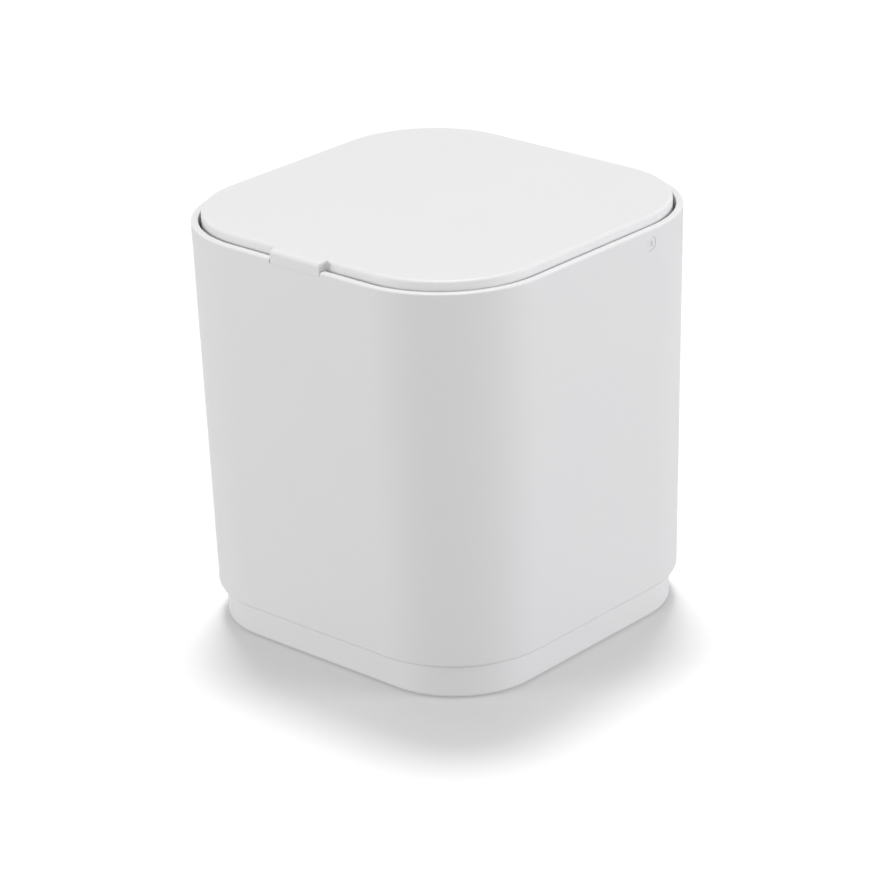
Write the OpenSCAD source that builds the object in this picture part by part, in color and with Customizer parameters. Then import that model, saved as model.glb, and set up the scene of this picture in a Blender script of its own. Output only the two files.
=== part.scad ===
// Countertop bin with a swing lid.
// A tapered rounded-square tub stands on a recessed plinth. An inset lid swings
// on two headed pins, and its finger tab rests in a notch in the front rim.
// Millimetres, +Z up, front is -Y, origin on the worktop under the middle.

/* [Body] */
// Width over the rim
body_w = 150; // [140:1:165]
// Depth over the rim, front to back
body_d = 148.6; // [140:0.2:165]
// Height of the rim over the worktop
rim_h = 155; // [130:0.2:180]
// Corner radius at the rim, seen from above
corner_r = 42; // [36:0.5:46]
// Wall thickness
wall = 2.6; // [2.4:0.1:3]
// Inward slope of each wall from rim to base
taper = 3.2; // [2:0.1:5]
// Thickness of the floor
floor_t = 2.8; // [2.4:0.1:3.4]
// Rounding of the rim's outer edge
rim_round = 0.8; // [0.6:0.1:1.2]
// Rounding of the wall's lower edge, over the plinth
step_round = 1.4; // [0.8:0.1:1.8]

/* [Plinth] */
// Height of the recessed plinth
plinth_h = 12.8; // [10:0.2:16]
// Set-back of the plinth from the wall over it
plinth_inset = 3.8; // [2.5:0.1:4]
// Corner radius of the plinth, seen from above
plinth_r = 33; // [30:0.5:35]

/* [Lid] */
// Gap between the lid's side edges and the wall
lid_gap = 0.8; // [0.8:0.1:1.4]
// Gap at the front, where the tab crosses it
front_gap = 1.3; // [1.1:0.1:2]
// Gap at the back, where the lid's edge dips as it opens
rear_gap = 1.4; // [1.3:0.1:1.8]
// Height of the lid's top over the rim
lid_rise = 3.2; // [2.8:0.1:3.6]
// Rounding of the lid's top edge
lid_round = 1.3; // [1:0.1:1.6]
// Thickness of the lid's panel
panel_t = 2.4; // [2:0.1:2.8]
// Depth of the lid's skirt, from its top
skirt_h = 8.3; // [7.8:0.1:8.6]
// Width of the finger tab
tab_w = 23.6; // [16:0.2:32]
// Rounding of the tab's top front edge
tab_round = 1.6; // [1:0.1:2.4]
// Depth of the rim's notch under the tab
notch_h = 1.8; // [1:0.1:3]

/* [Hinge] */
// Distance of the hinge line behind the middle
hinge_y = 28.5; // [26:0.5:30]
// Depth of the hinge line under the rim
hinge_drop = 5.6; // [5.4:0.1:6]
// Diameter of a pin's shank
pin_d = 3.6; // [3:0.1:4]
// Diameter of a pin's head
head_d = 5.2; // [5:0.1:6]
// Opening angle where the lid meets its stops
open_deg = 80; // [70:1:85]

/* [Feet] */
// Diameter of a non-slip pad
pad_d = 12; // [8:0.5:16]
// Height of a pad under the plinth
pad_lift = 0.6; // [0.4:0.1:1]
// Distance of a pad's centre from the middle, along X and along Y
pad_at = 46; // [40:1:48]

/* [Hidden] */
$fn = 96;

cx = body_w / 2 - corner_r;           // corner centres lie at +-cx, +-cy
cy = body_d / 2 - corner_r;
base_z = pad_lift;                    // underside of the plinth
step_z = base_z + plinth_h;           // top of the plinth
floor_z = base_z + floor_t;           // top of the floor
skirt_t = 2.2;                        // thickness of the lid's skirt
lid_r = corner_r - wall - lid_gap;    // the lid's corner radius
lid_z = rim_h + lid_rise;             // top of the lid
lid_x = cx + lid_r;                   // half width of the lid
lid_f = body_d / 2 - wall - front_gap; // distance of its front edge from the middle
lid_b = body_d / 2 - wall - rear_gap; // distance of its back edge from the middle
hinge_z = rim_h - hinge_drop;         // hinge line
ear_r = 5;                            // hinge ear round the pin
ear_t = 4.8;                          // its thickness
run_gap = 0.05;                       // radial clearance of a pin in its ear
press = 0.02;                         // radial interference of a pin in the wall
side_play = 0.2;                      // lid ear to thrust boss
tab_gap = 0.3;                        // tab to the notch's ends
tab_rest = 0.1;                       // tab over the notch's floor
notch_z = rim_h - notch_h;
head_t = 1;                           // thickness of a pin's head
pad_t = 1.6;                          // thickness of a pad
white = [0.93, 0.93, 0.925];

// outer radius of the wall at height z, from a corner centre
function wall_r(z) = corner_r - taper * (rim_h - z) / (rim_h - base_z);
inset = corner_r - wall_r(step_z) + plinth_inset; // plinth to rim, seen from above
px = body_w / 2 - inset - plinth_r;   // corner centres of the plinth
py = body_d / 2 - inset - plinth_r;

// points on an arc round p, from angle a to angle b
function arc(p, r, a, b, n = 6) =
  [for (i = [0:n]) p + r * [cos(a + (b - a) * i / n), sin(a + (b - a) * i / n)]];

// a profile (distance from the corner centre, height) swept round a rounded
// rectangle with corner centres at +-x, at -f in front and at b behind
module sweep_round(x, f, b) {
  p = [[x, b], [-x, b], [-x, -f], [x, -f]];
  for (q = [0:3]) translate([p[q][0], p[q][1], 0]) rotate([0, 0, 90 * q]) {
    rotate_extrude(angle = 90) children();
    rotate([90, 0, 0]) linear_extrude(height = q % 2 == 0 ? f + b : 2 * x) children();
  }
}

// rounded rectangle plate with the same corner centres and corner radius r
module plate(x, f, b, r, z, h) {
  translate([0, 0, z]) linear_extrude(height = h) union() {
    translate([-x - r, -f]) square([2 * (x + r), f + b]);
    translate([-x, -f - r]) square([2 * x, f + b + 2 * r]);
    for (i = [-x, x], j = [-f, b]) translate([i, j]) circle(r);
  }
}

// the profile filled in over the middle, between heights z0 and z1
module solid_round(x, y, z0, z1) {
  sweep_round(x, y, y) children();
  plate(x, y, y, 20, z0, z1 - z0);
}

module outer_form() {
  solid_round(cx, cy, step_z, rim_h) polygon(concat(
    [[18, step_z]],
    arc([wall_r(step_z) - step_round, step_z + step_round], step_round, -90, 0, 6),
    arc([corner_r - rim_round, rim_h - rim_round], rim_round, 0, 90),
    [[18, rim_h]]));
  solid_round(px, py, base_z, step_z + 1) polygon(concat(
    [[18, base_z]],
    arc([plinth_r - 1.2, base_z + 1.2], 1.2, -90, 0),
    [[plinth_r, step_z + 1], [18, step_z + 1]]));
}

module cavity() {
  ledge = step_z + wall;
  w = wall_r(ledge) - wall;           // inner radius over the ledge
  p = plinth_r - wall;                // inner radius of the plinth
  solid_round(cx, cy, ledge, rim_h + 2) polygon(concat(
    [[18, ledge]],
    arc([w - 1, ledge + 1], 1, -90, 0, 4),
    arc([corner_r - wall + 0.5, rim_h - 0.5], 0.5, 180, 90, 4),
    [[corner_r - wall + 0.5, rim_h + 2], [18, rim_h + 2]]));
  solid_round(px, py, floor_z, ledge + 0.5) polygon(concat(
    [[18, floor_z]],
    arc([p - 3.5, floor_z + 3.5], 3.5, -90, 0, 6),
    arc([p + 1, ledge - 1], 1, 180, 90, 4),
    [[p + 1, ledge + 0.5], [18, ledge + 0.5]]));
}

// the part of a stop lug that the opened skirt's lower edge meets, from the hinge line
function open_edge(s, clear) =
  [s * cos(open_deg) + (lid_z - skirt_h - hinge_z) * sin(open_deg) - clear,
   -s * sin(open_deg) + (lid_z - skirt_h - hinge_z) * cos(open_deg)];

module bin_body() {
  color(white) difference() {
    union() {
      difference() {
        outer_form();
        cavity();
      }
      for (s = [-1, 1]) {
        // thrust boss that centres the lid
        translate([s * (lid_x + side_play), hinge_y, hinge_z]) rotate([0, s * 90, 0])
          cylinder(h = 1.4, r = 4.2);
        // stop lug
        translate([s * (lid_x - 1.4), hinge_y, hinge_z]) mirror([s < 0 ? 1 : 0, 0, 0])
          rotate([90, 0, 90]) linear_extrude(height = 3)
            polygon([open_edge(9, 0.3), open_edge(16, 0.3), [-3.5, -19.5], [-3.5, -9]]);
      }
    }
    for (s = [-1, 1]) {
      // pin hole, with a seat for the head
      translate([s * (lid_x - 1), hinge_y, hinge_z]) rotate([0, s * 90, 0])
        cylinder(h = 8, r = pin_d / 2 - press);
      translate([s * (wall_r(hinge_z) + cx - head_t - 0.1), hinge_y, hinge_z]) rotate([0, s * 90, 0])
        cylinder(h = 4, r = head_d / 2 + 0.1);
    }
    // notch for the finger tab
    translate([-tab_w / 2 - tab_gap, -body_d / 2 - 1, notch_z])
      cube([tab_w + 2 * tab_gap, wall + 2, notch_h + 1]);
    // shallow panel under the floor, with the moulding gate left standing
    difference() {
      plate(28, 28, 28, 8, base_z - 1, 1.6);
      cylinder(h = base_z + 3, r = 2.4);
    }
    // seats for the pads
    for (x = [-pad_at, pad_at], y = [-pad_at, pad_at])
      translate([x, y, base_z - 1]) cylinder(h = 1 + pad_t - pad_lift, r = pad_d / 2 + 0.1);
  }
}

module lid_profile() {
  i = lid_r - skirt_t;
  z = lid_z - panel_t;
  b = lid_z - skirt_h;
  polygon(concat(
    [[18, z], [18, lid_z]],
    arc([lid_r - lid_round, lid_z - lid_round], lid_round, 90, 0),
    arc([lid_r - 0.4, b + 0.4], 0.4, 0, -90, 3),
    arc([i + 0.4, b + 0.4], 0.4, -90, -180, 3),
    arc([i - 1, z - 1], 1, 0, 90, 4)
  ));
}

module finger_tab() {
  y = body_d / 2 - 0.05;
  b = notch_z + tab_rest;
  intersection() {
    rotate([90, 0, 90]) linear_extrude(height = tab_w, center = true)
      polygon(concat([[-lid_f + 2, b], [-lid_f + 2, lid_z]],
        arc([-y + tab_round, lid_z - tab_round], tab_round, 90, 180, 8),
        [[-y, b]]));
    // rounded front corners
    translate([0, 0, b - 1]) linear_extrude(height = 8) union() {
      translate([-tab_w / 2, -y + 0.8]) square([tab_w, 10]);
      translate([-tab_w / 2 + 0.8, -y - 1]) square([tab_w - 1.6, 10]);
      for (s = [-1, 1]) translate([s * (tab_w / 2 - 0.8), -y + 0.8]) circle(0.8);
    }
  }
}

module lid() {
  z = lid_z - panel_t;
  color(white) difference() {
    union() {
      sweep_round(cx, lid_f - lid_r, lid_b - lid_r) lid_profile();
      plate(cx, lid_f - lid_r, lid_b - lid_r, 20, z, panel_t);
      finger_tab();
      for (s = [-1, 1]) {
        // hinge ear under each side
        translate([s * (lid_x - ear_t / 2), hinge_y, hinge_z]) {
          rotate([0, 90, 0]) cylinder(h = ear_t, r = ear_r, center = true);
          translate([-ear_t / 2, -ear_r, 0]) cube([ear_t, 2 * ear_r, z - hinge_z + 0.5]);
        }
        // stiffening rib from front to back
        translate([s * 24 - 0.9, -lid_f + 1.5, z - 3]) cube([1.8, lid_f + lid_b - 3, 3.4]);
      }
      // stiffening rib from ear to ear
      translate([-lid_x + 3, hinge_y - 1, z - 3.6]) cube([2 * lid_x - 6, 2, 4]);
    }
    for (s = [-1, 1])
      translate([s * (lid_x + 1), hinge_y, hinge_z]) rotate([0, -s * 90, 0])
        cylinder(h = ear_t + 3, r = pin_d / 2 + run_gap);
  }
}

// headed pin along +X: the head lies flush in the wall and has a small dimple
module hinge_pin() {
  x1 = cx + wall_r(hinge_z) - 0.1;    // head's face
  x0 = lid_x - ear_t + 0.6;           // tip
  rotate([0, 90, 0]) rotate_extrude()
    polygon([[0, x0], [pin_d / 2 - 0.5, x0], [pin_d / 2, x0 + 0.7],
             [pin_d / 2, x1 - head_t], [head_d / 2, x1 - head_t],
             [head_d / 2, x1 - 0.25], [head_d / 2 - 0.25, x1],
             [0.9, x1], [0.7, x1 - 0.5], [0, x1 - 0.5]]);
}

module hinge_pin_left() {
  color(white) translate([0, hinge_y, hinge_z]) mirror([1, 0, 0]) hinge_pin();
}
module hinge_pin_right() {
  color(white) translate([0, hinge_y, hinge_z]) hinge_pin();
}

// non-slip pad at one corner
module foot(x, y) {
  color([0.78, 0.78, 0.77]) translate([x * pad_at, y * pad_at, 0]) rotate_extrude()
    polygon(concat([[0, 0]], arc([pad_d / 2 - 0.4, 0.4], 0.4, -90, 0, 4),
                   [[pad_d / 2, pad_t], [0, pad_t]]));
}
module foot_front_left() foot(-1, -1);
module foot_front_right() foot(1, -1);
module foot_rear_left() foot(-1, 1);
module foot_rear_right() foot(1, 1);

bin_body();
lid();
hinge_pin_left();
hinge_pin_right();
foot_front_left();
foot_front_right();
foot_rear_left();
foot_rear_right();
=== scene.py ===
import math

import bmesh
import bpy
from mathutils import Matrix, Vector


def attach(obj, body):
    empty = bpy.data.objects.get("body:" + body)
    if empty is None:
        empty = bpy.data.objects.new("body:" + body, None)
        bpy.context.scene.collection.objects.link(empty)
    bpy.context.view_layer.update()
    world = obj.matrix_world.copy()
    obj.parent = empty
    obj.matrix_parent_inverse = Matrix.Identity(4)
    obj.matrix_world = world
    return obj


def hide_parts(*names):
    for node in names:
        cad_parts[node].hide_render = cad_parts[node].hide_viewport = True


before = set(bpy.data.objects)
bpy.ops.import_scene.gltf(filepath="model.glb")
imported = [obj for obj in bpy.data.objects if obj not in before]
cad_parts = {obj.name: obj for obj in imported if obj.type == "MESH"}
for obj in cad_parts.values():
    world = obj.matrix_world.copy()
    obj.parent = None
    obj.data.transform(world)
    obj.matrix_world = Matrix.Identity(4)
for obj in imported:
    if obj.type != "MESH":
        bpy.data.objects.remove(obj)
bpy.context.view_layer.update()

MM = 0.001
NC = 36  # segments of each large corner

# ------------------------------------------------------------------ sizes, millimetres
WALL = 2.6
RIM_Z = 155.0
BASE_Z = 0.6
STEP_Z = 13.4
FLOOR_Z = 3.4
BODY = (33.0, 32.3, 32.3)  # corner centres: +-x, front, back
PLINTH = (35.265, 34.565, 34.565)
LID = (33.0, 31.8, 31.7)
LID_Z = 158.2
LID_R = 38.6
LID_E = 1.3  # rounding of its top edge
HINGE_Y, HINGE_Z = 28.5, 149.4
NOTCH_X, NOTCH_DROP = 12.1, 1.8
TAB_X, TAB_Y, TAB_R = 11.8, 74.25, 1.6


def r_out(z):
    """Outer radius of the wall, from a corner centre."""
    return 39.065 + (42.0 - 39.065) * (z - 14.8) / 139.4


def r_in(z):
    """Inner radius of the wall, from a corner centre."""
    return 36.519 + (39.4 - 36.519) * (z - 17.0) / 137.5


def arc(c, r, a, b, n):
    """n + 1 points on an arc round c, from angle a to angle b."""
    return [
        (
            c[0] + r * math.cos(math.radians(a + (b - a) * i / n)),
            c[1] + r * math.sin(math.radians(a + (b - a) * i / n)),
        )
        for i in range(n + 1)
    ]


def mix(a, b, t):
    return a + (b - a) * t


# ------------------------------------------------------------------ mesh helpers
def make(name, verts, faces):
    me = bpy.data.meshes.new(name)
    me.from_pydata([(x * MM, y * MM, z * MM) for x, y, z in verts], [], faces)
    ob = bpy.data.objects.new(name, me)
    bpy.context.scene.collection.objects.link(ob)
    tidy(ob)
    return ob


def tidy(ob):
    bm = bmesh.new()
    bm.from_mesh(ob.data)
    bmesh.ops.remove_doubles(bm, verts=bm.verts, dist=2e-7)
    bmesh.ops.dissolve_degenerate(bm, edges=bm.edges, dist=2e-7)
    bmesh.ops.recalc_face_normals(bm, faces=bm.faces)
    open_edges = sum(1 for e in bm.edges if len(e.link_faces) != 2)
    bm.to_mesh(ob.data)
    bm.free()
    if open_edges:
        print("OPEN EDGES", ob.name, open_edges)


def loft(name, rings):
    """Closed mesh through closed rings of equal length, with flat ends."""
    n = len(rings[0])
    verts = [p for ring in rings for p in ring]
    faces = []
    for k in range(len(rings) - 1):
        a, b = k * n, (k + 1) * n
        for i in range(n):
            j = (i + 1) % n
            faces.append((a + i, a + j, b + j, b + i))
    for k in (0, len(rings) - 1):
        ring = rings[k]
        c = tuple(sum(p[q] for p in ring) / n for q in range(3))
        verts.append(c)
        for i in range(n):
            faces.append((k * n + i, k * n + (i + 1) % n, len(verts) - 1))
    return make(name, verts, faces)


def shrunk(ring, steps):
    """Copies of a flat ring, scaled towards the middle."""
    return [[(x * s, y * s, z) for x, y, z in ring] for s in steps]


def lathe(name, profile, centre, side=1, n=72):
    """Profile of (x, radius) turned round a line along X through centre."""
    rings = []
    for x, r in profile:
        rings.append(
            [
                (
                    side * x,
                    centre[0] + r * math.cos(2 * math.pi * i / n),
                    centre[1] + r * math.sin(2 * math.pi * i / n),
                )
                for i in range(n)
            ]
        )
    return loft(name, rings)


def lathe_z(name, profile, centre, n=72):
    """Profile of (radius, z) turned round a vertical line."""
    return loft(
        name,
        [
            [
                (
                    centre[0] + r * math.cos(2 * math.pi * i / n),
                    centre[1] + r * math.sin(2 * math.pi * i / n),
                    z,
                )
                for i in range(n)
            ]
            for r, z in profile
        ],
    )


def rounded(points, radius, n, inset=0.0):
    """Outline of a convex polygon (counter-clockwise) with rounded corners, moved inwards by inset."""
    m = len(points)
    out = []
    r = max(radius - inset, 0.02)
    for i in range(m):
        p0, p1, p2 = (Vector(points[(i + k) % m]) for k in (-1, 0, 1))
        d0, d1 = (p1 - p0).normalized(), (p2 - p1).normalized()
        n0, n1 = Vector((-d0.y, d0.x)), Vector((-d1.y, d1.x))
        # corner of the polygon moved inwards by (inset + r): the arc's centre
        k = inset + r
        bis = (n0 + n1).normalized()
        c = p1 + bis * (k / max(bis.dot(n0), 1e-6))
        a0 = math.atan2(-n0.y, -n0.x)
        turn = d0.x * d1.y - d0.y * d1.x
        ang = math.atan2(turn, d0.dot(d1))
        for q in range(n + 1):
            a = a0 + ang * q / n
            out.append((c.x + r * math.cos(a), c.y + r * math.sin(a)))
    return out


def prism(name, outline, radius, x0, x1, soft0=0.0, soft1=0.0, axis="x", n=5, seg=5):
    """Rounded polygon pushed along an axis from x0 to x1, with softened end edges."""
    rows = []
    if soft0:
        rows += [(x0 + soft0 - soft0 * math.sin(a), soft0 - soft0 * math.cos(a)) for a in
                 [math.pi / 2 * (1 - i / n) for i in range(n + 1)]]
    else:
        rows.append((x0, 0.0))
    if soft1:
        rows += [(x1 - soft1 + soft1 * math.sin(a), soft1 - soft1 * math.cos(a)) for a in
                 [math.pi / 2 * i / n for i in range(n + 1)]]
    else:
        rows.append((x1, 0.0))
    rings = []
    for x, inset in rows:
        o = rounded(outline, radius, seg, inset)
        if axis == "x":
            rings.append([(x, a, b) for a, b in o])
        elif axis == "y":
            rings.append([(a, x, b) for a, b in o])
        else:
            rings.append([(a, b, x) for a, b in o])
    return loft(name, rings)


def boolean(ob, tool, operation):
    mod = ob.modifiers.new("cut", "BOOLEAN")
    mod.operation = operation
    mod.object = tool
    mod.solver = "EXACT"
    dg = bpy.context.evaluated_depsgraph_get()
    dg.update()
    me = bpy.data.meshes.new_from_object(ob.evaluated_get(dg))
    ob.modifiers.clear()
    old = ob.data
    ob.data = me
    bpy.data.meshes.remove(old)
    gone = tool.data
    bpy.data.objects.remove(tool)
    bpy.data.meshes.remove(gone)
    tidy(ob)


def smooth(ob, angle=32):
    ob.data.shade_smooth()
    ob.data.set_sharp_from_angle(angle=math.radians(angle))


# ------------------------------------------------------------------ columns round a rounded rectangle
def columns(centres, front, right=(), back=(), left=()):
    """Columns counter-clockwise from the front side's left end. Each is a dict with its base
    point and outward normal. front is a list of dicts with x, and anything more that a ring uses."""
    x, f, b = centres
    cols = []

    def corner(cx, cy, a0):
        for i in range(NC + 1):
            a = math.radians(a0 + 90 * i / NC)
            cols.append({"p": (cx, cy), "n": (math.cos(a), math.sin(a))})

    for c in front:
        cols.append({**c, "p": (c["x"], -f), "n": (0.0, -1.0), "front": True})
    corner(x, -f, -90)
    for y in right:
        cols.append({"p": (x, y), "n": (1.0, 0.0)})
    corner(x, b, 0)
    for px in back:
        cols.append({"p": (px, b), "n": (0.0, 1.0)})
    corner(-x, b, 90)
    for y in left:
        cols.append({"p": (-x, y), "n": (-1.0, 0.0)})
    corner(-x, -f, 180)
    return cols


def ring(cols, r, z):
    return [(c["p"][0] + r * c["n"][0], c["p"][1] + r * c["n"][1], z) for c in cols]


SIDE = [-30, -20, -10, 0, 10, 20, 30]


# ------------------------------------------------------------------ bin body
def notch_columns():
    """Front columns of the body: (x in the lower rows, x at the rim, drop of the rim)."""
    e, g = 0.3, 0.25  # rounding at the top of the notch's ends, and at their foot
    half = []
    top = [(NOTCH_X + e - e * math.sin(math.radians(a)), e - e * math.cos(math.radians(a))) for a in (0, 22.5, 45, 67.5, 90)]
    foot = [
        (NOTCH_X - g + g * math.cos(math.radians(a)), NOTCH_DROP - g + g * math.sin(math.radians(a)))
        for a in (0, 30, 60, 90)
    ]
    line = top + foot
    base = [12.9 - 0.14 * i for i in range(len(line))]
    half = [{"x": b, "rx": x, "drop": d} for b, (x, d) in zip(base, line)]
    out = [{"x": -x, "rx": -x, "drop": 0.0} for x in (32, 28, 20, 14.2)]
    out += [{**h, "x": -h["x"], "rx": -h["rx"]} for h in half]
    out += [{"x": x, "rx": x, "drop": NOTCH_DROP} for x in (-11, -6, 0, 6, 11)]
    out += half[::-1]
    out += [{"x": x, "rx": x, "drop": 0.0} for x in (14.2, 20, 28, 32)]
    return out


def build_body():
    front = notch_columns()
    side = [-31.3] + SIDE + [31.3]
    cols = columns(BODY, front, side, [-y for y in side], [-y for y in side])
    low = columns(PLINTH, front, side, [-y for y in side], [-y for y in side])

    def rim(point):
        """point(col) gives (radius, height) in a column."""
        out = []
        for c in cols:
            r, z = point(c)
            px = c.get("rx", c["p"][0]) if c.get("front") else c["p"][0]
            out.append((px + r * c["n"][0], c["p"][1] + r * c["n"][1], z))
        return out

    def outer(c, a, extra=0.0):
        d = c.get("drop", 0.0)
        t = d / NOTCH_DROP
        zt, ro = RIM_Z - d, mix(0.8, 0.03, t)
        z = zt - ro
        return (
            r_out(z) - ro + ro * math.cos(math.radians(a)),
            z + ro * math.sin(math.radians(a)) - extra,
        )

    def inner(c, a, extra=0.0):
        d = c.get("drop", 0.0)
        t = d / NOTCH_DROP
        zt, ri = RIM_Z - d, mix(0.5, 0.1, t)
        z = zt - ri
        return (
            r_in(z) + ri - ri * math.cos(math.radians(a)),
            z + ri * math.sin(math.radians(a)) - extra,
        )

    rings = []
    # floor inside, out from the middle
    floor = ring(low, 26.5, FLOOR_Z)
    rings += shrunk(floor, (0.08, 0.3, 0.6, 0.85)) + [floor]
    rings += [ring(low, r, z) for r, z in arc((26.9, FLOOR_Z + 3.5), 3.5, -90, 0, 9)]
    rings += [ring(low, 30.4, 7.3), ring(low, 30.4, 14.7)]
    rings += [ring(low, r, z) for r, z in arc((31.4, 15.0), 1.0, 180, 90, 6)]
    rings += [ring(low, 31.7, 16.0), ring(cols, 35.2, 16.0)]
    rings += [ring(cols, r, z) for r, z in arc((35.519, 17.0), 1.0, -90, 0, 6)]
    rings += [ring(cols, r_in(z), z) for z in (17.4, 45, 80, 115, 140, 151.4)]
    rings += [rim(lambda c: inner(c, 0, 0.3))]
    rings += [rim(lambda c, a=a: inner(c, a)) for a in (0, 18, 36, 54, 72, 90)]
    rings += [rim(lambda c, a=a: outer(c, a)) for a in (90, 80, 70, 60, 50, 40, 30, 20, 10, 0)]
    rings += [rim(lambda c: outer(c, 0, 0.3))]
    rings += [ring(cols, r_out(z), z) for z in (151.2, 140, 115, 80, 45, 20, 15.2)]
    rings += [ring(cols, r, z) for r, z in arc((37.665, 14.8), 1.4, 0, -90, 10)]
    rings += [ring(cols, 37.3, STEP_Z)]
    rings += [ring(low, 33.8, STEP_Z)]
    rings += [ring(low, r, z) for r, z in arc((33.45, STEP_Z - 0.45), 0.45, 90, 180, 5)]
    rings += [ring(low, 33.0, z) for z in (12.6, 7.5, 2.1)]
    rings += [ring(low, r, z) for r, z in arc((31.8, BASE_Z + 1.2), 1.2, 0, -90, 9)]
    under = ring(low, 31.4, BASE_Z)
    rings += [under] + shrunk(under, (0.85, 0.6, 0.3, 0.08))
    ob = loft("bin_body_shell", rings)

    for s in (-1, 1):
        boss = [(71.8, 3.0)] + [(x, r) for r, x in arc((3.95, 72.05), 0.25, -90, 0, 5)]
        boss += [(x, r) for r, x in arc((4.4, 72.15), 0.2, 180, 90, 4)] + [(73.3, 4.4)]
        boolean(ob, lathe("tool", boss, (HINGE_Y, HINGE_Z), s, 96), "UNION")
        # stop lug: the opened skirt's lower edge meets its sloped side
        c80, s80 = math.cos(math.radians(80)), math.sin(math.radians(80))
        pts = [
            (q * c80 + 0.5 * s80 - 0.3, -q * s80 + 0.5 * c80) for q in (9.0, 16.0)
        ]
        pts = [(-3.5, -9.0), (-3.5, -19.5), pts[1], pts[0]]
        pts = [(HINGE_Y + a, HINGE_Z + b) for a, b in pts]
        lug = prism("tool", pts, 0.7, 70.2, 73.2, soft0=0.45, seg=6)
        if s < 0:
            lug.data.transform(Matrix.Scale(-1, 4, Vector((1, 0, 0))))
            tidy(lug)
        boolean(ob, lug, "UNION")

    for s in (-1, 1):
        # pin hole: lead-in at the boss, shank, seat for the head, broken outer edge
        hole = [(71.0, 2.2), (71.78, 2.2), (71.8, 2.05), (72.02, 1.78), (73.784, 1.78), (73.784, 2.64),
                (74.78, 2.64), (74.86, 2.66), (74.94, 2.73), (76.2, 2.73)]
        boolean(ob, lathe("tool", hole, (HINGE_Y, HINGE_Z), s, 96), "DIFFERENCE")

    # shallow panel under the floor, with its edges broken, and the gate left standing
    sq = [(-36, -36), (36, -36), (36, 36), (-36, 36)]
    rows = [(-0.2, 0.0), (0.42, 0.0), (0.48, 0.08), (0.6, 0.14)]
    rings = []
    for z, inset in [(-0.6, -0.35), (0.44, -0.35), (0.52, -0.25), (0.6, -0.18), (0.72, -0.05), (0.85, 0.0), (1.02, 0.03),
                     (1.12, 0.1), (1.2, 0.25), (1.2, 0.5), (1.2, 1.5)]:
        o = rounded(sq, 8.0, 14, inset)
        rings.append([(a, b, z) for a, b in o])
    boolean(ob, loft("tool", rings), "DIFFERENCE")
    gate = [(2.4, 1.6), (2.4, 0.75)] + [(r, z) for r, z in arc((2.25, 0.75), 0.15, 0, -90, 4)] + [(1.1, 0.6), (0.95, 0.72), (0.5, 0.78)]
    boolean(ob, lathe_z("tool", gate, (0, 0), 64), "UNION")
    for x in (-46, 46):
        for y in (-46, 46):
            seat = [(6.3, -0.4), (6.3, 0.6), (6.1, 0.78), (6.1, 1.55), (6.0, 1.6)]
            boolean(ob, lathe_z("tool", seat, (x, y), 72), "DIFFERENCE")
            # faint ejector mark on the floor inside
            mark = [(3.0, 5.0), (3.0, 3.42), (2.95, 3.33), (2.8, 3.3)]
            boolean(ob, lathe_z("tool", mark, (x * 0.82, y * 0.82), 48), "DIFFERENCE")
    smooth(ob)
    return ob


# ------------------------------------------------------------------ lid
def tab_columns():
    """Front columns of the lid: x in the lower rows, x in the tab's rows, and either the tab's
    inset there or how far the plain edge stands out."""
    rho = 0.4
    angles = (0, 22.5, 45, 67.5, 90)
    tab = [
        {"rx": TAB_X - rho + rho * math.sin(math.radians(a)), "tab": rho - rho * math.cos(math.radians(a))}
        for a in angles
    ]
    edge = [
        {"rx": TAB_X + rho - rho * math.cos(math.radians(a)), "out": rho - rho * math.sin(math.radians(a))}
        for a in angles
    ]
    half = tab + edge
    for i, h in enumerate(half):
        h["x"] = 11.2 + 0.13 * i
    out = [{"x": -x, "rx": -x, "out": 0.0} for x in (31, 27, 20, 14)]
    out += [{**h, "x": -h["x"], "rx": -h["rx"]} for h in half[::-1]]
    out += [{"x": x, "rx": x, "tab": 0.0} for x in (-9, -4.5, 0, 4.5, 9)]
    out += half
    out += [{"x": x, "rx": x, "out": 0.0} for x in (14, 20, 27, 31)]
    return out


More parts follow.
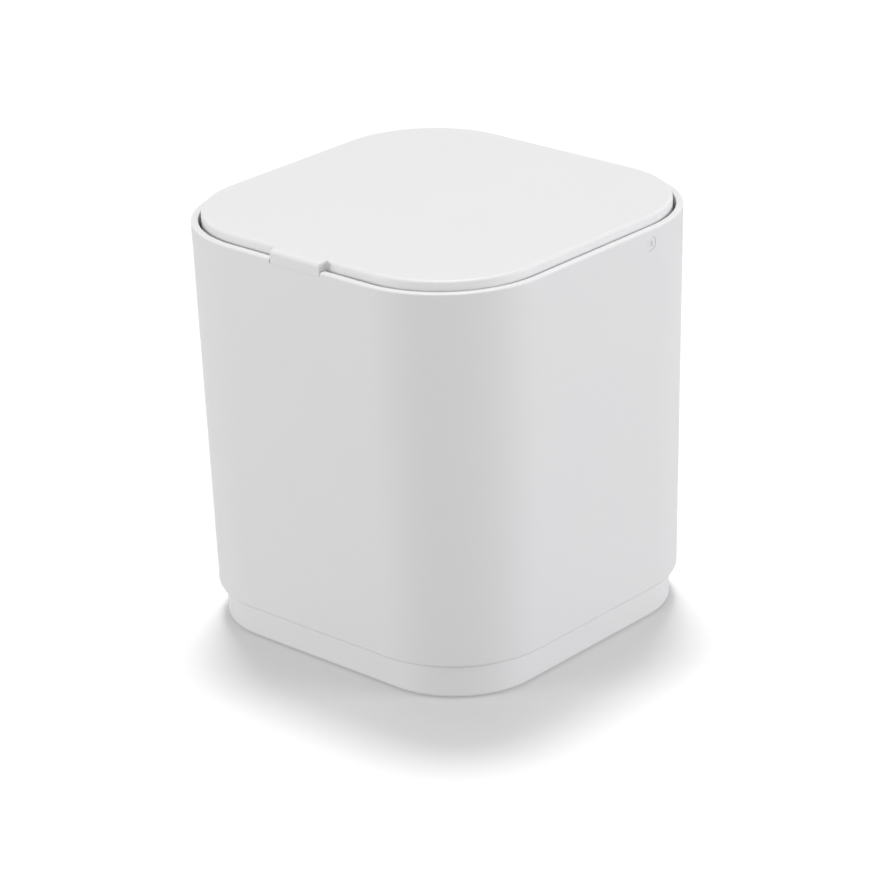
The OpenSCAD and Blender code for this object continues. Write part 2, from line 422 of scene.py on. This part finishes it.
def build_lid():
    front = tab_columns()
    side = [-30.7] + SIDE + [31.3]
    cols = columns(LID, front, side, [32, 28, 18, 8, -8, -18, -28, -32], side[::-1])
    rt = TAB_Y - LID[1]

    def row(plain, tab):
        """plain is (radius, height, stands_out); tab(inset) gives (radius, height)."""
        out = []
        for c in cols:
            if c.get("front"):
                if "tab" in c:
                    r, z = tab(c["tab"])
                else:
                    r, z = plain[0] + (c["out"] if plain[2] else 0.0), plain[1]
                out.append((c["rx"], c["p"][1] - r, z))
            else:
                out.append((c["p"][0] + plain[0] * c["n"][0], c["p"][1] + plain[0] * c["n"][1], plain[1]))
        return out

    rings = []
    inside = ring(cols, 35.0, 155.8)
    rings += shrunk(inside, (0.08, 0.3, 0.6, 0.85)) + [inside]
    rings += [ring(cols, r, z) for r, z in arc((35.4, 154.8), 1.0, 90, 0, 6)]
    rings += [ring(cols, 36.4, 154.5), ring(cols, 36.4, 150.6)]
    rings += [ring(cols, r, z) for r, z in arc((36.8, 150.3), 0.4, 180, 270, 5)]
    rings += [ring(cols, r, z) for r, z in arc((38.2, 150.3), 0.4, -90, 0, 5)]
    rings += [ring(cols, LID_R, 150.6), ring(cols, LID_R, 152.4)]
    rings += [row((LID_R, 153.0, False), lambda d: (LID_R, 153.22 + 0.5 * d))]
    rings += [row((LID_R, 153.2, False), lambda d: (rt - 0.03 - d, 153.22 + 0.5 * d))]
    rings += [row((LID_R, 153.5, True), lambda d: (rt - d, 153.25 + 0.5 * d))]
    rings += [row((LID_R, 156.5, True), lambda d: (rt - d, 155.4))]
    n = 12
    for i in range(n + 1):
        a = math.radians(90 * i / n)
        rings += [
            row(
                (LID_R - LID_E + LID_E * math.cos(a), LID_Z - LID_E + LID_E * math.sin(a), True),
                lambda d, a=a: (rt - TAB_R + (TAB_R - d) * math.cos(a), LID_Z - TAB_R + (TAB_R - d) * math.sin(a)),
            )
        ]
    top = ring(cols, 36.8, LID_Z)
    rings += [top] + shrunk(top, (0.85, 0.6, 0.3, 0.08))
    ob = loft("lid_shell", rings)

    # ears round the pins
    for s in (-1, 1):
        outline = [(HINGE_Y - 5, 156.7)]
        outline += [(HINGE_Y + y, HINGE_Z + z) for y, z in arc((0, 0), 5.0, 180, 360, 24)]
        outline += [(HINGE_Y + 5, 156.7)]
        rings = []
        for x, inset in [(71.59, 0.25), (71.52, 0.07), (71.35, 0.0), (67.2, 0.0), (66.96, 0.08), (66.84, 0.22), (66.8, 0.4)]:
            k = 1 - inset / 5.0
            rings.append([(s * x, HINGE_Y + (y - HINGE_Y) * k, HINGE_Z + (z - HINGE_Z) * k if z < 156 else z) for y, z in outline])
        boolean(ob, loft("tool", rings), "UNION")
        # rib from front to back, drawn in towards its edge
        foot = [(s * 24 - 0.72, 152.8), (s * 24 + 0.72, 152.8), (s * 24 + 0.9, 156.7), (s * 24 - 0.9, 156.7)]
        boolean(ob, prism("tool", foot, 0.3, -68.8, 68.7, axis="y", seg=5), "UNION")
    cross = [(HINGE_Y - 0.82, 152.2), (HINGE_Y + 0.82, 152.2), (HINGE_Y + 1.0, 156.7), (HINGE_Y - 1.0, 156.7)]
    boolean(ob, prism("tool", cross, 0.3, -68.6, 68.6, axis="x", seg=5), "UNION")
    for s in (-1, 1):
        hole = [(65.9, 2.3), (66.78, 2.1), (67.02, 1.85), (71.38, 1.85), (71.62, 2.1), (72.4, 2.3)]
        boolean(ob, lathe("tool", hole, (HINGE_Y, HINGE_Z), s, 72), "DIFFERENCE")
        for y in (-44, 8, 50):
            # faint ejector marks under the panel
            mark = [(2.6, 154.3), (2.6, 155.8), (2.55, 155.86), (2.4, 155.9)]
            boolean(ob, lathe_z("tool", mark, (s * 44, y), 48), "DIFFERENCE")
    smooth(ob)
    return ob


# ------------------------------------------------------------------ pins and feet
def build_pin(name, s):
    x1, x0 = 74.784, 67.4
    prof = [(x0, 0.6), (x0, 1.15)]
    prof += [(x, r) for x, r in [(x0 + 0.08, 1.3), (x0 + 0.35, 1.5), (x0 + 0.6, 1.72), (x0 + 0.8, 1.8)]]
    prof += [(x1 - 1.3, 1.8), (x1 - 1.08, 1.82), (x1 - 1.0, 1.9), (x1 - 1.0, 2.45)]
    prof += [(x, r) for r, x in arc((2.5, x1 - 0.9), 0.1, -90, 0, 3)]
    prof += [(x, r) for r, x in arc((2.46, x1 - 0.14), 0.14, 0, 90, 5)]
    prof += [(x1, 1.15)]
    prof += [(x, r) for r, x in arc((1.05, x1 - 0.15), 0.15, 90, 180, 4)]
    prof += [(x1 - 0.42, 0.75), (x1 - 0.49, 0.62), (x1 - 0.5, 0.4)]
    ob = lathe(name, prof, (HINGE_Y, HINGE_Z), s, 96)
    smooth(ob, 40)
    return ob


def build_foot(name, x, y):
    prof = [(3.0, 1.6), (5.85, 1.6), (5.97, 1.55), (6.0, 1.45), (6.0, 0.75)]
    prof += arc((5.6, 0.4), 0.4, 0, -90, 8) + [(5.4, 0.0), (3.0, 0.0), (0.5, 0.0)]
    ob = lathe_z(name, prof, (x, y), 96)
    smooth(ob, 40)
    return ob


# ------------------------------------------------------------------ materials
def plastic(name, base, tint, rough, grain, ior=1.49, deep=0.0):
    """Moulded plastic: two close tones in broad soft patches, uneven gloss, fine texture. Where the second tone is
    bluish, as for the body and the lid, its patches are painted sheen.
    """
    m = bpy.data.materials.new(name)
    m.use_nodes = True
    nt = m.node_tree
    b = nt.nodes["Principled BSDF"]
    b.inputs["IOR"].default_value = ior
    if deep:
        b.inputs["Subsurface Weight"].default_value = deep
        b.inputs["Subsurface Radius"].default_value = (1.0, 0.9, 0.8)
        b.inputs["Subsurface Scale"].default_value = 0.0015
    tc = nt.nodes.new("ShaderNodeTexCoord")

    def noise(scale, detail=2.0, rgh=0.5):
        n = nt.nodes.new("ShaderNodeTexNoise")
        n.inputs["Scale"].default_value = scale
        n.inputs["Detail"].default_value = detail
        n.inputs["Roughness"].default_value = rgh
        nt.links.new(tc.outputs["Object"], n.inputs["Vector"])
        return n

    def ranged(src, lo, hi, a=0.3, z=0.7):
        n = nt.nodes.new("ShaderNodeMapRange")
        n.inputs["From Min"].default_value = a
        n.inputs["From Max"].default_value = z
        n.inputs["To Min"].default_value = lo
        n.inputs["To Max"].default_value = hi
        nt.links.new(src.outputs["Fac"], n.inputs["Value"])
        return n

    # soft patches between the two tones; where the second tone is bluish (body, lid) these patches are a painted
    # sheen, not a colour of the plastic
    tone_and_sheen = noise(13.0, 2.0)
    ramp = nt.nodes.new("ShaderNodeValToRGB")
    ramp.color_ramp.elements[0].position = 0.35
    ramp.color_ramp.elements[0].color = (*base, 1)
    ramp.color_ramp.elements[1].position = 0.68
    ramp.color_ramp.elements[1].color = (*tint, 1)
    nt.links.new(tone_and_sheen.outputs["Fac"], ramp.inputs["Fac"])
    nt.links.new(ramp.outputs["Color"], b.inputs["Base Color"])
    gloss = ranged(noise(55.0, 4.0, 0.6), rough - 0.035, rough + 0.035)
    nt.links.new(gloss.outputs["Result"], b.inputs["Roughness"])
    # spark-eroded texture over a very shallow waviness from moulding
    fine = noise(2600.0, 3.0, 0.65)
    wave = noise(38.0, 1.0)
    b1 = nt.nodes.new("ShaderNodeBump")
    b1.inputs["Strength"].default_value = grain
    b1.inputs["Distance"].default_value = 0.00004
    nt.links.new(fine.outputs["Fac"], b1.inputs["Height"])
    b2 = nt.nodes.new("ShaderNodeBump")
    b2.inputs["Strength"].default_value = 0.12
    b2.inputs["Distance"].default_value = 0.0002
    nt.links.new(wave.outputs["Fac"], b2.inputs["Height"])
    nt.links.new(b2.outputs["Normal"], b1.inputs["Normal"])
    nt.links.new(b1.outputs["Normal"], b.inputs["Normal"])
    return m


# the bluish second tones of the body and of the lid are a painted sheen, spread in soft patches over the whole
# part
WHITE = (0.782, 0.78, 0.778)
BLUISH_SHEEN = (0.777, 0.777, 0.782)
mat_body = plastic("body_plastic_look", WHITE, BLUISH_SHEEN, 0.46, 0.35)
mat_lid = plastic("lid_plastic_look", (0.787, 0.785, 0.783), (0.782, 0.782, 0.786), 0.46, 0.35)
mat_pin = plastic("pin_plastic_look", (0.77, 0.77, 0.768), (0.76, 0.765, 0.77), 0.27, 0.12)
mat_foot = plastic("foot_rubber_look", (0.60, 0.60, 0.585), (0.55, 0.55, 0.54), 0.62, 0.6, 1.42, 0.15)


def piece(ob, mat, body, slot, *nodes):
    ob.data.materials.clear()
    ob.data.materials.append(mat)
    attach(ob, body)
    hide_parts(*nodes)


piece(build_body(), mat_body, "base", "body_plastic", "bin_body")
piece(build_lid(), mat_lid, "swing_lid", "lid_plastic", "lid")
for nm, s in (("left", -1), ("right", 1)):
    piece(build_pin(f"pin_{nm}", s), mat_pin, "base", "pin_plastic", f"hinge_pin_{nm}")
for fb, y in (("front", -46), ("rear", 46)):
    for lr, x in (("left", -46), ("right", 46)):
        piece(build_foot(f"pad_{fb}_{lr}", x, y), mat_foot, "base", "foot_rubber", f"foot_{fb}_{lr}")

# ------------------------------------------------------------------ floor, light
me = bpy.data.meshes.new("floor")
me.from_pydata([(-4, -4, 0), (4, -4, 0), (4, 4, 0), (-4, 4, 0)], [], [(0, 1, 2, 3)])
floor = bpy.data.objects.new("floor", me)
bpy.context.scene.collection.objects.link(floor)
fm = bpy.data.materials.new("floor_look")
fm.use_nodes = True
fb = fm.node_tree.nodes["Principled BSDF"]
fb.inputs["Base Color"].default_value = (0.95, 0.95, 0.95, 1)
fb.inputs["Roughness"].default_value = 1.0
fb.inputs["Specular IOR Level"].default_value = 0.0
me.materials.append(fm)
floor.visible_diffuse = False  # the white ground throws no light up at the bin

world = bpy.data.worlds.new("world")
bpy.context.scene.world = world
world.use_nodes = True
world.node_tree.nodes["Background"].inputs["Color"].default_value = (1, 1, 1, 1)
world.node_tree.nodes["Background"].inputs["Strength"].default_value = 0.4


def aimed(name, kind, turn, rise, dist, energy):
    """A light that shines at the object's middle. turn is the angle from the front, towards the right."""
    d = bpy.data.lights.new(name, kind)
    d.energy = energy
    o = bpy.data.objects.new(name, d)
    bpy.context.scene.collection.objects.link(o)
    t, e = math.radians(turn), math.radians(rise)
    to = Vector((0, 0, 0.08))
    from_ = to + dist * Vector((math.sin(t) * math.cos(e), -math.cos(t) * math.cos(e), math.sin(e)))
    o.matrix_world = Matrix.Translation(from_) @ (to - from_).to_track_quat("-Z", "Y").to_matrix().to_4x4()
    return d


for name, turn, rise, dist, size, energy in (
    ("box_left", -30, 10, 1.7, (0.8, 0.5), 10.5),
    ("box_front", 0, 10, 1.7, (0.8, 0.5), 0.3),
    ("box_corner", 42, 10, 1.7, (0.8, 0.5), 3.6),
    ("box_right", 115, 10, 1.7, (0.8, 0.5), 13.0),
    ("box_back", 222, 35, 1.9, (1.6, 0.9), 1.2),
):
    d = aimed(name, "AREA", turn, rise, dist, energy)
    d.shape = "RECTANGLE"
    d.size, d.size_y = size
    if name == "box_right":
        d.color = (0.972, 0.965, 1.0)
for name, rise, energy in (("top_soft", 80, 0.189), ("top_rear", 72, 1.688)):
    aimed(name, "SUN", 222, rise, 2.0, energy).angle = math.radians(16)

# ------------------------------------------------------------------ camera
AZ, EL, ROLL = math.radians(42.117), math.radians(22.317), math.radians(-1.8205)
DIST, FOCAL, AX, AY = 1.32634, 3623.8, -0.003363, -0.010595
mid = Vector((0, 0, 0.0785))
back = Vector((math.sin(AZ) * math.cos(EL), -math.cos(AZ) * math.cos(EL), math.sin(EL)))
at = mid + back * DIST
r0 = (-back).cross(Vector((0, 0, 1))).normalized()
u0 = r0.cross(-back)
fwd = (mid + r0 * AX + u0 * AY - at).normalized()
rt = fwd.cross(Vector((0, 0, 1))).normalized()
up = rt.cross(fwd)
r2 = rt * math.cos(ROLL) + up * math.sin(ROLL)
u2 = -rt * math.sin(ROLL) + up * math.cos(ROLL)
cd = bpy.data.cameras.new("camera")
cd.sensor_width = 36
cd.lens = FOCAL * 36 / 870
cd.clip_start, cd.clip_end = 0.01, 50
cam = bpy.data.objects.new("camera", cd)
bpy.context.scene.collection.objects.link(cam)
cam.matrix_world = Matrix(
    (
        (r2.x, u2.x, -fwd.x, at.x),
        (r2.y, u2.y, -fwd.y, at.y),
        (r2.z, u2.z, -fwd.z, at.z),
        (0, 0, 0, 1),
    )
)
bpy.context.scene.camera = cam
bpy.context.scene.view_settings.view_transform = "Standard"
bpy.context.scene.view_settings.look = "None"
